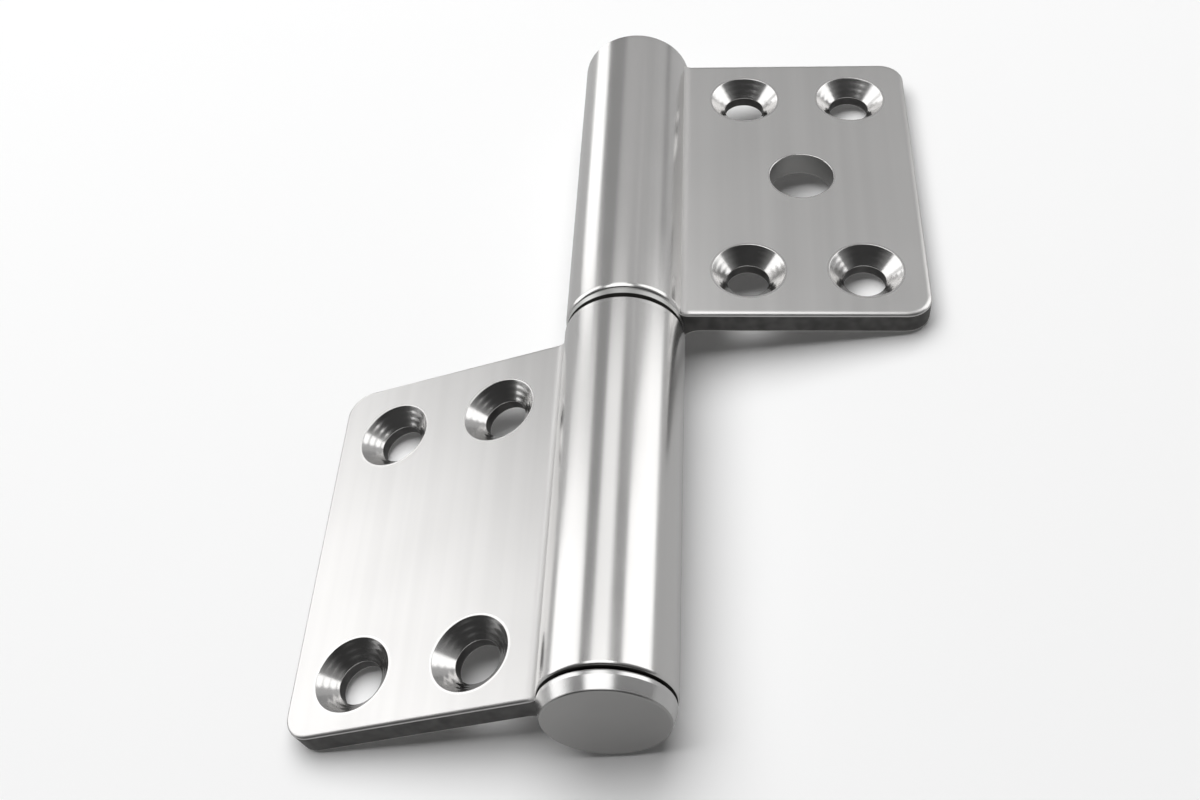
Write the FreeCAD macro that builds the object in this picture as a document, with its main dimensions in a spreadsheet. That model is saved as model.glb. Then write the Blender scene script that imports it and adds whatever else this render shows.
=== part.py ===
import FreeCAD, Part
import math
import os
import Sketcher

# Lift-off hinge with two flag leaves. Millimetres, +Z up along the pin.
# The origin is the middle of the lower leaf's four screw holes, on its back face.
# Countersunk faces look towards -Y and back faces towards +Y.
# The lower leaf reaches towards -X. The upper leaf reaches towards +X, turned about
# the pin by rest_turn, as far as the hinge opens when it lies on its two back edges.

SIZES = [
    ("barrel_radius", 9.0, "outside of both knuckles"),
    ("knuckle_length", 61.0, "each knuckle, end to end"),
    ("knuckle_rim", 0.6, "chamfer of a knuckle's free rim"),
    ("knuckle_past_leaf", 1.4, "a knuckle's top end above its leaf; their bottom ends are level"),
    ("leaf_reach", 45.8, "from the pin's axis to a leaf's outer edge"),
    ("leaf_thickness", 4.0, "plate of each leaf"),
    ("leaf_face_offset", 3.0, "from the pin's axis to the countersunk face"),
    ("leaf_corner", 4.0, "radius of a leaf's two outer corners"),
    ("leaf_edge", 0.6, "rounding all round a leaf and its knuckle"),
    ("front_root", 1.5, "hollow between countersunk face and barrel"),
    ("back_root", 3.0, "hollow between back face and barrel"),
    ("column_offset", 18.6, "from the pin's axis to the first column of screws"),
    ("column_margin", 9.4, "from the second column of screws to the leaf's outer edge"),
    ("row_margin", 9.3, "from both ends of a leaf to its rows of screws"),
    ("lower_row_drop", 0.8, "lower leaf's screws below the middle of their leaf"),
    ("screw_hole_radius", 3.25, "straight part of a screw hole"),
    ("countersink_radius", 5.6, "rim of a countersink"),
    ("countersink_angle", 90.0, "degrees across the cone"),
    ("centre_hole_radius", 5.1, "plain hole in the upper leaf"),
    ("centre_hole_rise", 1.0, "plain hole above the middle of its leaf"),
    ("rest_turn", 20.6, "degrees that the upper leaf is turned back at rest"),
    ("washer_thickness", 1.5, "thrust washer between the knuckles"),
    ("washer_inset", 0.2, "barrel beyond the washer, on the radius"),
    ("washer_rim", 0.25, "chamfer of the washer's outer rims"),
    ("washer_clearance", 0.2, "between pin and washer, on the radius"),
    ("pin_radius", 5.0, "hinge pin"),
    ("blind_end_wall", 13.75, "solid end of the upper knuckle beyond its bore"),
    ("pin_lead_in", 1.2, "chamfer at the pin's top"),
    ("pin_foot_chamfer", 0.5, "chamfer at the pin's foot"),
    ("pin_seat_clearance", 0.02, "between pin and lower knuckle, on the radius"),
    ("pin_running_clearance", 0.05, "between pin and upper knuckle, on the radius"),
    ("pin_end_gap", 2.0, "between the pin's top and the blind end of its bore"),
    ("bore_lead_in", 0.6, "chamfer at the mouth of the upper bore"),
    ("cap_inset", 0.2, "barrel beyond the end cap's head, on the radius"),
    ("cap_thickness", 2.5, "head of the end cap"),
    ("cap_lean", 0.6, "cap's side leaning in towards its face, on the radius"),
    ("cap_lean_height", 2.0, "leaning part of the cap's side, along the pin"),
    ("cap_rim", 0.3, "rounding between the cap's side and face"),
    ("cap_back_rim", 0.3, "chamfer of the cap's inner rim"),
    ("neck_inset", 1.0, "cap's head beyond its neck, on the radius"),
    ("cap_neck_length", 0.6, "open gap between knuckle and head"),
    ("cap_spigot_length", 5.0, "part of the cap inside the knuckle"),
]

# The knuckle's own cylinder overlaps the leaf's section by this much where it runs on past it.
KNUCKLE_LAP = 4.0
# Two faces that meet at more than this many degrees make a sharp edge.
SHARP_DEGREES = 20.0
# Two points, radii or heights are the same if they differ by less.
SAME_PLACE = 1e-4

# Places and lengths that several pieces share, as expressions on the sheet.
LEAF_LENGTH = "(Sizes.knuckle_length - Sizes.knuckle_past_leaf)"
COLUMN_PITCH = "(Sizes.leaf_reach - Sizes.column_margin - Sizes.column_offset)"
ROW_PITCH = f"({LEAF_LENGTH} - 2 * Sizes.row_margin)"
BORE_DEPTH = "(Sizes.knuckle_length - Sizes.blind_end_wall)"
PIN_IN_LOWER = "(Sizes.knuckle_length - Sizes.cap_spigot_length)"
WASHER_RADIUS = "(Sizes.barrel_radius - Sizes.washer_inset)"
CAP_RADIUS = "(Sizes.barrel_radius - Sizes.cap_inset)"
PIN_X = f"Sizes.column_offset + {COLUMN_PITCH} / 2"
PIN_Y = "Sizes.leaf_face_offset - Sizes.leaf_thickness"
LOWER_TOP_Z = f"(Sizes.knuckle_length - {LEAF_LENGTH} / 2 + Sizes.lower_row_drop)"


def make_sheet(doc):
    """Spreadsheet with one row for each driving dimension."""
    sheet = doc.addObject("Spreadsheet::Sheet", "Sizes")
    for row, (alias, value, meaning) in enumerate(SIZES, start=1):
        sheet.set(f"A{row}", meaning)
        sheet.set(f"B{row}", str(value))
        sheet.setAlias(f"B{row}", alias)
    doc.recompute()
    return sheet


def origin_plane(body, role):
    """One of a body's own origin planes."""
    return next(f for f in body.Origin.OriginFeatures if f.Role == role)


def make_body(doc, name):
    """Empty body whose Label names the piece."""
    body = doc.addObject("PartDesign::Body", name)
    body.Label = name
    return body


def place(body, axis, degrees, x, y, z):
    """Puts a body at a point given by expressions, turned about an axis by a number or an expression."""
    body.Placement = FreeCAD.Placement(FreeCAD.Vector(), FreeCAD.Rotation(axis, 1.0))
    body.setExpression("Placement.Rotation.Angle", str(degrees))
    body.setExpression("Placement.Base.x", x)
    body.setExpression("Placement.Base.y", y)
    body.setExpression("Placement.Base.z", z)


def make_sketch(body, name, role, offset="0"):
    """Empty sketch parallel to one of the body's origin planes."""
    sketch = body.newObject("Sketcher::SketchObject", name)
    sketch.AttachmentSupport = (origin_plane(body, role), [""])
    sketch.MapMode = "FlatFace"
    sketch.setExpression("AttachmentOffset.Base.z", offset)
    return sketch


def measure(doc, expression):
    """Value of an expression on the sheet, in millimetres."""
    return float(doc.Sizes.evalExpression(expression))


def bind(sketch, constraint, expression):
    """Adds a dimension to a sketch and binds it to the sheet. constraint lists all but the value."""
    value = measure(sketch.Document, expression)
    index = sketch.addConstraint(Sketcher.Constraint(*constraint, value))
    sketch.setExpression(f"Constraints[{index}]", expression)


def add_circle(sketch, radius, x=None, y=None):
    """Circle of a radius about the sketch's origin or about (x, y). All are expressions."""
    doc = sketch.Document
    centre = FreeCAD.Vector()
    if x is not None:
        centre = FreeCAD.Vector(measure(doc, x), measure(doc, y), 0)
    circle = sketch.addGeometry(
        Part.Circle(centre, FreeCAD.Vector(0, 0, 1), measure(doc, radius)), False
    )
    bind(sketch, ("Radius", circle), radius)
    if x is None:
        sketch.addConstraint(Sketcher.Constraint("Coincident", circle, 3, -1, 1))
    else:
        bind(sketch, ("DistanceX", -1, 1, circle, 3), x)
        bind(sketch, ("DistanceY", -1, 1, circle, 3), y)


def add_outline(sketch, moves):
    """Closed outline of level and upright lines that starts on the sketch's origin.

    Each move is (right, up, expression): its direction and its length. A move without an
    expression ends level with the origin, and a last line closes the outline.
    """
    points = [FreeCAD.Vector()]
    for right, up, expression in moves:
        here = points[-1]
        length = measure(sketch.Document, expression) if expression else abs(here.x)
        points.append(here + FreeCAD.Vector(right, up, 0) * length)
    count = len(points)
    for i, here in enumerate(points):
        sketch.addGeometry(Part.LineSegment(here, points[(i + 1) % count]), False)
    for i, here in enumerate(points):
        after = (i + 1) % count
        level = abs(here.y - points[after].y) < SAME_PLACE
        sketch.addConstraint(Sketcher.Constraint("Coincident", i, 2, after, 1))
        sketch.addConstraint(Sketcher.Constraint("Horizontal" if level else "Vertical", i))
    sketch.addConstraint(Sketcher.Constraint("Coincident", 0, 1, -1, 1))
    for i, (_, _, expression) in enumerate(moves):
        if expression:
            bind(sketch, ("Distance", i), expression)


def add_leaf_section(sketch, sizes):
    """Section across the pin: barrel, two hollow roots and the flat leaf towards +X."""
    radius = sizes["barrel_radius"]
    reach = sizes["leaf_reach"]
    face = sizes["leaf_face_offset"]
    back = sizes["leaf_thickness"] - face
    front_root = sizes["front_root"]
    back_root = sizes["back_root"]
    normal = FreeCAD.Vector(0, 0, 1)
    # The centre of a root lies one root radius off the face and off the barrel.
    front_x = math.sqrt((radius + front_root) ** 2 - (face + front_root) ** 2)
    back_x = math.sqrt((radius + back_root) ** 2 - (back + back_root) ** 2)
    front_turn = math.atan2(face + front_root, front_x)
    back_turn = math.atan2(back + back_root, back_x)
    barrel = Part.ArcOfCircle(
        Part.Circle(FreeCAD.Vector(), normal, radius), back_turn, 2 * math.pi - front_turn
    )
    front = Part.ArcOfCircle(
        Part.Circle(FreeCAD.Vector(front_x, -face - front_root, 0), normal, front_root),
        math.pi / 2,
        math.pi - front_turn,
    )
    back_arc = Part.ArcOfCircle(
        Part.Circle(FreeCAD.Vector(back_x, back + back_root, 0), normal, back_root),
        math.pi + back_turn,
        1.5 * math.pi,
    )
    face_line = Part.LineSegment(
        FreeCAD.Vector(front_x, -face, 0), FreeCAD.Vector(reach, -face, 0)
    )
    edge_line = Part.LineSegment(FreeCAD.Vector(reach, -face, 0), FreeCAD.Vector(reach, back, 0))
    back_line = Part.LineSegment(FreeCAD.Vector(reach, back, 0), FreeCAD.Vector(back_x, back, 0))
    sketch.addGeometry([barrel, front, face_line, edge_line, back_line, back_arc], False)
    for constraint in (
        ("Coincident", 0, 3, -1, 1),
        ("Tangent", 0, 2, 1, 2),
        ("Tangent", 1, 1, 2, 1),
        ("Coincident", 2, 2, 3, 1),
        ("Coincident", 3, 2, 4, 1),
        ("Tangent", 4, 2, 5, 2),
        ("Tangent", 5, 1, 0, 1),
        ("Horizontal", 2),
        ("Vertical", 3),
        ("Horizontal", 4),
    ):
        sketch.addConstraint(Sketcher.Constraint(*constraint))
    bind(sketch, ("Radius", 0), "Sizes.barrel_radius")
    bind(sketch, ("Radius", 1), "Sizes.front_root")
    bind(sketch, ("Radius", 5), "Sizes.back_root")
    bind(sketch, ("DistanceX", -1, 1, 3, 1), "Sizes.leaf_reach")
    bind(sketch, ("DistanceY", 3, 1, -1, 1), "Sizes.leaf_face_offset")
    bind(sketch, ("DistanceY", 3, 1, 3, 2), "Sizes.leaf_thickness")


def pad(body, name, sketch, length):
    """Pad along the sketch's normal, with its length bound to an expression."""
    feature = body.newObject("PartDesign::Pad", name)
    feature.Profile = sketch
    feature.setExpression("Length", length)
    return feature


def sharp_edges(shape):
    """Names of the edges where two faces meet at a clear angle."""
    names = []
    for number, edge in enumerate(shape.Edges, start=1):
        faces = shape.ancestorsOfType(edge, Part.Face)
        if len(faces) != 2:
            continue
        middle = edge.valueAt((edge.FirstParameter + edge.LastParameter) / 2)
        normals = [f.normalAt(*f.Surface.parameter(middle)) for f in faces]
        if math.degrees(normals[0].getAngle(normals[1])) > SHARP_DEGREES:
            names.append(f"Edge{number}")
    return names


def upright_outer_edges(shape, reach):
    """Names of the straight edges through the leaf's thickness at its outer corners."""
    names = []
    for number, edge in enumerate(shape.Edges, start=1):
        ends = [v.Point for v in edge.Vertexes]
        outer = all(abs(p.x - reach) < SAME_PLACE for p in ends)
        if outer and abs(ends[0].z - ends[-1].z) < SAME_PLACE:
            names.append(f"Edge{number}")
    return names


def rim_edges(shape, radius, height):
    """Names of the full circles of one radius about the pin's axis at one height."""
    names = []
    for number, edge in enumerate(shape.Edges, start=1):
        if not isinstance(edge.Curve, Part.Circle) or not edge.isClosed():
            continue
        same_size = abs(edge.Curve.Radius - radius) < SAME_PLACE
        if same_size and abs(edge.Curve.Center.z - height) < SAME_PLACE:
            names.append(f"Edge{number}")
    return names


def dress(body, kind, name, base, edges, size):
    """Fillet or Chamfer on named edges, with its size bound to a row of the sheet."""
    feature = body.newObject("PartDesign::" + kind, name)
    feature.Base = (base, edges)
    feature.setExpression("Radius" if kind == "Fillet" else "Size", "Sizes." + size)
    body.Document.recompute()
    return feature


def make_leaf(doc, name, sizes, flush_joint, first_row):
    """Leaf and knuckle cast in one piece, in its own frame, with four countersunk holes.

    z = 0 is the knuckle's end at the washer, z grows away from it, and the leaf reaches towards +X.
    The leaf is level with the knuckle's end at the washer, or else with its outer end.
    first_row is the height of the screw row nearer the washer, as an expression.
    """
    body = make_body(doc, name)
    radius = sizes["barrel_radius"]
    section = make_sketch(
        body, name + "_section", "XY_Plane", "0" if flush_joint else "Sizes.knuckle_past_leaf"
    )
    add_leaf_section(section, sizes)
    blank = pad(body, name + "_blank", section, LEAF_LENGTH)
    doc.recompute()
    outer = upright_outer_edges(blank.Shape, sizes["leaf_reach"])
    corners = dress(body, "Fillet", name + "_corners", blank, outer, "leaf_corner")
    dress(body, "Fillet", name + "_edges", corners, sharp_edges(corners.Shape), "leaf_edge")
    # The knuckle runs on past the leaf as a plain cylinder.
    lap_start = f"{LEAF_LENGTH} - {KNUCKLE_LAP}" if flush_joint else "0"
    circle = make_sketch(body, name + "_stub_circle", "XY_Plane", lap_start)
    add_circle(circle, "Sizes.barrel_radius")
    stub = pad(body, name + "_stub", circle, f"Sizes.knuckle_past_leaf + {KNUCKLE_LAP}")
    doc.recompute()
    free_end = sizes["knuckle_length"] if flush_joint else 0.0
    free_rim = rim_edges(stub.Shape, radius, free_end)
    dress(body, "Chamfer", name + "_rim", stub, free_rim, "knuckle_rim")
    add_countersunk_holes(doc, body, name, first_row)
    return body


def add_countersunk_holes(doc, body, name, first_row):
    """Four screw holes through the leaf, sunk from the -Y face."""
    sketch = make_sketch(body, name + "_screws", "XZ_Plane", "Sizes.leaf_face_offset")
    for column in (0, 1):
        for row in (0, 1):
            add_circle(
                sketch,
                "Sizes.screw_hole_radius",
                f"Sizes.column_offset + {column} * {COLUMN_PITCH}",
                f"{first_row} + {row} * {ROW_PITCH}",
            )
    doc.recompute()
    holes = body.newObject("PartDesign::Hole", name + "_countersinks")
    holes.Profile = sketch
    doc.recompute()
    holes.DepthType = "ThroughAll"
    holes.HoleCutType = "Countersink"
    holes.HoleCutCustomValues = True
    holes.setExpression("Diameter", "2 * Sizes.screw_hole_radius")
    holes.setExpression("HoleCutDiameter", "2 * Sizes.countersink_radius")
    holes.setExpression("HoleCutCountersinkAngle", "Sizes.countersink_angle")
    doc.recompute()


def cut_round(body, name, sketch, depth=None):
    """Pocket of a sketch's circle: through everything, or as deep as an expression says."""
    body.Document.recompute()
    feature = body.newObject("PartDesign::Pocket", name)
    feature.Profile = sketch
    if depth is None:
        feature.Type = "ThroughAll"
        feature.Midplane = True
    else:
        feature.Reversed = True
        feature.setExpression("Length", depth)
    body.Document.recompute()
    return feature


def make_lower_leaf(doc, sizes):
    """Lower leaf: bored right through for the pin and the end cap."""
    first_row = "(Sizes.knuckle_past_leaf + Sizes.row_margin + Sizes.lower_row_drop)"
    body = make_leaf(doc, "lower_leaf", sizes, False, first_row)
    circle = make_sketch(body, "lower_bore_circle", "XY_Plane")
    add_circle(circle, "Sizes.pin_radius + Sizes.pin_seat_clearance")
    cut_round(body, "lower_bore", circle)
    # Turned upside down about Y, so that the washer end is on top and the leaf reaches towards -X.
    place(body, FreeCAD.Vector(0, 1, 0), 180, PIN_X, PIN_Y, LOWER_TOP_Z)
    return body


def make_upper_leaf(doc, sizes):
    """Upper leaf: blind bore from below and one plain hole between the screws."""
    body = make_leaf(doc, "upper_leaf", sizes, True, "Sizes.row_margin")
    bore = "Sizes.pin_radius + Sizes.pin_running_clearance"
    circle = make_sketch(body, "upper_bore_circle", "XY_Plane")
    add_circle(circle, bore)
    pocket = cut_round(body, "upper_bore", circle, BORE_DEPTH)
    mouth = rim_edges(pocket.Shape, measure(doc, bore), 0.0)
    dress(body, "Chamfer", "upper_bore_mouth", pocket, mouth, "bore_lead_in")
    centre_hole = make_sketch(body, "centre_hole_circle", "XZ_Plane", "Sizes.leaf_face_offset")
    add_circle(
        centre_hole,
        "Sizes.centre_hole_radius",
        f"Sizes.column_offset + {COLUMN_PITCH} / 2",
        f"{LEAF_LENGTH} / 2 + Sizes.centre_hole_rise",
    )
    cut_round(body, "centre_hole", centre_hole)
    upper_bottom = f"{LOWER_TOP_Z} + Sizes.washer_thickness"
    place(body, FreeCAD.Vector(0, 0, 1), "Sizes.rest_turn", PIN_X, PIN_Y, upper_bottom)
    return body


def make_pin(doc, sizes):
    """Plain ground pin that stands on the end cap's spigot. Its own z = 0 is its foot."""
    body = make_body(doc, "hinge_pin")
    sketch = make_sketch(body, "pin_circle", "XY_Plane")
    add_circle(sketch, "Sizes.pin_radius")
    length = f"{PIN_IN_LOWER} + Sizes.washer_thickness + {BORE_DEPTH} - Sizes.pin_end_gap"
    shaft = pad(body, "pin_shaft", sketch, length)
    doc.recompute()
    top = rim_edges(shaft.Shape, sizes["pin_radius"], measure(doc, length))
    lead_in = dress(body, "Chamfer", "pin_lead_in", shaft, top, "pin_lead_in")
    foot = rim_edges(lead_in.Shape, sizes["pin_radius"], 0.0)
    dress(body, "Chamfer", "pin_foot", lead_in, foot, "pin_foot_chamfer")
    place(body, FreeCAD.Vector(0, 0, 1), 0, PIN_X, PIN_Y, f"{LOWER_TOP_Z} - {PIN_IN_LOWER}")
    return body


def make_washer(doc, sizes):
    """Flat thrust washer between the knuckles, with a small chamfer on its outer rims."""
    body = make_body(doc, "thrust_washer")
    sketch = make_sketch(body, "washer_ring", "XY_Plane")
    add_circle(sketch, WASHER_RADIUS)
    add_circle(sketch, "Sizes.pin_radius + Sizes.washer_clearance")
    ring = pad(body, "washer_plate", sketch, "Sizes.washer_thickness")
    doc.recompute()
    rims = []
    for height in (0.0, sizes["washer_thickness"]):
        rims += rim_edges(ring.Shape, measure(doc, WASHER_RADIUS), height)
    dress(body, "Chamfer", "washer_rims", ring, rims, "washer_rim")
    place(body, FreeCAD.Vector(0, 0, 1), 0, PIN_X, PIN_Y, LOWER_TOP_Z)
    return body


def make_end_cap(doc, sizes):
    """Turned cap: spigot in the lower knuckle, narrow neck and round head below it.

    Its own z = 0 is the knuckle's outer end. The half section is turned about Z, and the head's
    side leans in towards its face.
    """
    body = make_body(doc, "end_cap")
    sketch = make_sketch(body, "cap_section", "XZ_Plane")
    moves = [
        (0, 1, "Sizes.cap_spigot_length"),
        (1, 0, "Sizes.pin_radius"),
        (0, -1, "Sizes.cap_spigot_length"),
        (1, 0, f"{CAP_RADIUS} - Sizes.neck_inset - Sizes.pin_radius"),
        (0, -1, "Sizes.cap_neck_length"),
        (1, 0, "Sizes.neck_inset"),
        (0, -1, "Sizes.cap_thickness"),
        (-1, 0, None),
    ]
    add_outline(sketch, moves)
    doc.recompute()
    turned = body.newObject("PartDesign::Revolution", "cap_turned")
    turned.Profile = sketch
    turned.ReferenceAxis = (sketch, ["V_Axis"])
    turned.Angle = 360.0
    doc.recompute()
    head_top = -sizes["cap_neck_length"]
    head_bottom = head_top - sizes["cap_thickness"]
    radius = measure(doc, CAP_RADIUS)
    side = body.newObject("PartDesign::Chamfer", "cap_side")
    side.Base = (turned, rim_edges(turned.Shape, radius, head_bottom))
    side.ChamferType = "Two distances"
    side.setExpression("Size", "Sizes.cap_lean")
    side.setExpression("Size2", "Sizes.cap_lean_height")
    doc.recompute()
    if not rim_edges(side.Shape, radius, head_bottom + sizes["cap_lean_height"]):
        side.FlipDirection = True
        doc.recompute()
    face_rim = rim_edges(side.Shape, radius - sizes["cap_lean"], head_bottom)
    outer = dress(body, "Fillet", "cap_rim", side, face_rim, "cap_rim")
    back_rim = rim_edges(outer.Shape, radius, head_top)
    dress(body, "Chamfer", "cap_back_rim", outer, back_rim, "cap_back_rim")
    knuckle_end = f"{LOWER_TOP_Z} - Sizes.knuckle_length"
    place(body, FreeCAD.Vector(0, 0, 1), 0, PIN_X, PIN_Y, knuckle_end)
    return body


def check(doc, bodies):
    """Stops the script if a feature failed or a piece isn't one sound solid."""
    for item in doc.Objects:
        if "Invalid" in item.State or "Error" in item.State:
            raise RuntimeError(f"{item.Name} failed: {item.State}")
    for body in bodies:
        shape = body.Shape
        if shape.isNull() or not shape.isValid() or len(shape.Solids) != 1:
            raise RuntimeError(f"{body.Label} isn't one sound solid")


def main():
    doc = FreeCAD.newDocument("lift_off_hinge")
    make_sheet(doc)
    sizes = {alias: value for alias, value, _ in SIZES}
    bodies = [
        make_lower_leaf(doc, sizes),
        make_upper_leaf(doc, sizes),
        make_pin(doc, sizes),
        make_washer(doc, sizes),
        make_end_cap(doc, sizes),
    ]
    doc.recompute()
    check(doc, bodies)
    os.makedirs("parts", exist_ok=True)
    for body in bodies:
        body.Shape.exportStep(f"parts/{body.Label}.step")
        box = body.Shape.BoundBox
        print(
            f"{body.Label}: {body.Shape.Volume:.1f} mm3,"
            f" x {box.XMin:.2f} to {box.XMax:.2f},"
            f" y {box.YMin:.2f} to {box.YMax:.2f},"
            f" z {box.ZMin:.2f} to {box.ZMax:.2f}"
        )


main()
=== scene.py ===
"""Lift-off hinge of stainless steel with two flag leaves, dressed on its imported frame.

All sizes are in metres. Each leaf is worked out in a frame of its own: Z is the pin's axis, z = 0 is
the knuckle's end that is level with the leaf, the leaf reaches towards +X, and its countersunk face
looks towards -Y. The lower leaf is that shape mirrored in X, and the upper one is turned about Z.
"""

import math

import bpy
import numpy as np
from mathutils import Matrix, Quaternion, Vector


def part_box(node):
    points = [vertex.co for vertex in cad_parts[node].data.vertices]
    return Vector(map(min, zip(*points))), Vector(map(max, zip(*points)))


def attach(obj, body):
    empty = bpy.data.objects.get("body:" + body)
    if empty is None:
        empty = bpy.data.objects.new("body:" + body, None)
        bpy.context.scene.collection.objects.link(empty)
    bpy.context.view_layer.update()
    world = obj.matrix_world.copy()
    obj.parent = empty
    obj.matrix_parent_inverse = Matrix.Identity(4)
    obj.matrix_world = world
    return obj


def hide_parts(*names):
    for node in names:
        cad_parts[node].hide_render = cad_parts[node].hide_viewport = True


bl_info = {
    "name": "Lift-off hinge",
    "version": (1, 0, 0),
    "blender": (4, 5, 0),
    "location": "3D View > Sidebar > Hinge",
    "description": "Builds a stainless steel lift-off hinge with two flag leaves",
    "category": "Add Mesh",
}

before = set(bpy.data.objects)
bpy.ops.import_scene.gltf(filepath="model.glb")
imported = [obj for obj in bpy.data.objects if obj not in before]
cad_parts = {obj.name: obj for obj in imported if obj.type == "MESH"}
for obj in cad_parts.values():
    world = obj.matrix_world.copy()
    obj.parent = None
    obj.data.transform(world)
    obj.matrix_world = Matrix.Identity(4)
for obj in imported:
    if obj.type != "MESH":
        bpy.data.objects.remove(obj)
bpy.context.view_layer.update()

MM = 0.001

LOWER_LOW, LOWER_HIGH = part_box("lower_leaf")
UPPER_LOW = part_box("upper_leaf")[0]
PIN_LOW, PIN_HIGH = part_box("hinge_pin")
WASHER_LOW, WASHER_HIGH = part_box("thrust_washer")
CAP_LOW, CAP_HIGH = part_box("end_cap")
PIN_AXIS = (PIN_LOW + PIN_HIGH) / 2
KNUCKLE_LENGTH = LOWER_HIGH.z - LOWER_LOW.z

# Two points closer than this are one vertex. The shift keeps round sizes off the border of a step.
WELD = 1e-6
WELD_SHIFT = 0.137
# Digits by which two angles round a hole are told apart.
ANGLE_DIGITS = 9

# Quads across one rounding, round a root hollow, a barrel and a turned piece.
ROUND_STEPS = 6
ROOT_STEPS = 14
BARREL_STEPS = 150
TURNED_STEPS = 192
# Points across the leaf's edge between its two roundings.
FLAT_POINTS = 5
# Longest quad along a leaf's outline, and along a ridged cone.
OUTLINE_STEP = 0.8 * MM
CONE_STEP = 0.06 * MM

# Places of the materials: the piece's own skin, then those of a leaf and those of a turned piece.
# All places but SKIN and TURNED carry painted shade: dark colours on faces that lie in shade.
SKIN = 0
TURNED = 1
LEAF_GAP_SHADE = 2
DULL_SHADED = 3
BORED_SHADED = 4
TURNED_GAP_SHADE = 1
TURNED_FACE_SHADED = 2
# Step of the lower barrel's rim from which it is inside the gap beside the cap and takes painted shade.
GAP_SHADE_STEP = 4

# Share of the front hollow's radius, off the barrel, at which the hollow's finish is roughest.
ROOT_MIDDLE = 0.06

# Pitch and height of the marks left by the tool in the countersinks, in the bores, on turned faces
# and on the ground pin. The waver is how many times a metre they change on their way round.
CONE_MARKS = (0.16 * MM, 0.004 * MM)
BORE_MARKS = (0.3 * MM, 0.006 * MM)
FACE_MARKS = (0.2 * MM, 0.003 * MM)
GROUND_MARKS = (0.1 * MM, 0.002 * MM)
MARK_WAVER = 60.0
# Scratches of the satin skin: width, length in widths, height, and their scale against the streaks'.
SCRATCH_WIDTH = 0.4 * MM
SCRATCH_STRETCH = 60.0
SCRATCH_HEIGHT = 0.002 * MM
STREAK_SCALE = 0.12
# Share of the marks' and scratches' height that shows.
BUMP_STRENGTH = 0.5
# Smudges on satin, turned and unpolished steel: their size, the roughness that they add, and the
# shade between them. Streaks add a roughness of their own.
SATIN_SMUDGE, SATIN_WORN, SATIN_SHADE = 11 * MM, 0.035, 0.94
TURNED_SMUDGE, TURNED_WORN, TURNED_SHADE = 6 * MM, 0.08, 0.93
DULL_SMUDGE, DULL_SHADE = 2 * MM, 0.6
STREAK_WORN = 0.02
# Values of the noise at which a smudge and a streak begin and are full.
SMUDGE_NOISE = (0.2, 0.8)
STREAK_NOISE = (0.3, 0.7)

# Soft panels: name, wall, its span towards the far side, its span up the wall or to the right, lean of
# its far edge in degrees, and radiance. Spans are shares of the distance from the hinge to the walls.
PANELS = (
    ("left_panel", "LEFT", (-0.05, 0.87), (0.0, 1.6), 21.0, 1.4),
    ("left_fill", "LEFT", (0.81, 1.12), (0.0, 1.35), 28.0, 0.6),
    ("left_far_panel", "LEFT", (0.97, 1.8), (0.0, 0.72), 5.0, 1.5),
    ("right_panel", "RIGHT", (0.15, 1.05), (0.06, 1.5), 12.0, 1.4),
    ("right_fill", "RIGHT", (1.15, 2.6), (0.1, 2.0), 12.0, 0.17),
    ("top_near", "TOP", (-0.32, 0.4), (-0.4, 0.4), 0.0, 1.6),
    ("top_strip", "TOP", (0.4, 0.9), (-0.25, 0.23), 0.0, 1.0),
    ("top_fill", "TOP", (0.9, 2.0), (-0.25, 0.6), 0.0, 0.18),
)
# Z of the unit direction in which the room turns from the near side to beyond the hinge, and from
# behind the camera to the near side.
NEAR_TO_BEYOND = (-0.6, 0.2)
BEHIND_TO_NEAR = (-0.96, -0.82)
WHITE = (1.0, 1.0, 1.0, 1.0)
# Millimetres of the camera's sensor, and metres in front of it that it sees nothing of.
SENSOR_WIDTH = 36.0
CLIP_START = 0.01


def length(name, default, description):
    """A size in metres."""
    return bpy.props.FloatProperty(
        name=name, description=description, default=default, min=0.0, unit="LENGTH", precision=5
    )


def share(name, default, description):
    """A number from 0 to 1."""
    return bpy.props.FloatProperty(
        name=name, description=description, default=default, min=0.0, max=1.0, subtype="FACTOR"
    )


def turn(name, degrees, description):
    """An angle, given in degrees."""
    return bpy.props.FloatProperty(
        name=name, description=description, default=math.radians(degrees), unit="ROTATION"
    )


def tint(name, default, description):
    """A linear colour."""
    return bpy.props.FloatVectorProperty(
        name=name, description=description, default=default, size=3, min=0.0, max=1.0, subtype="COLOR"
    )


def amount(name, default, description):
    """A number of 0 or more. A radiance of 1 is white in a mirror."""
    return bpy.props.FloatProperty(name=name, description=description, default=default, min=0.0)


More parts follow.
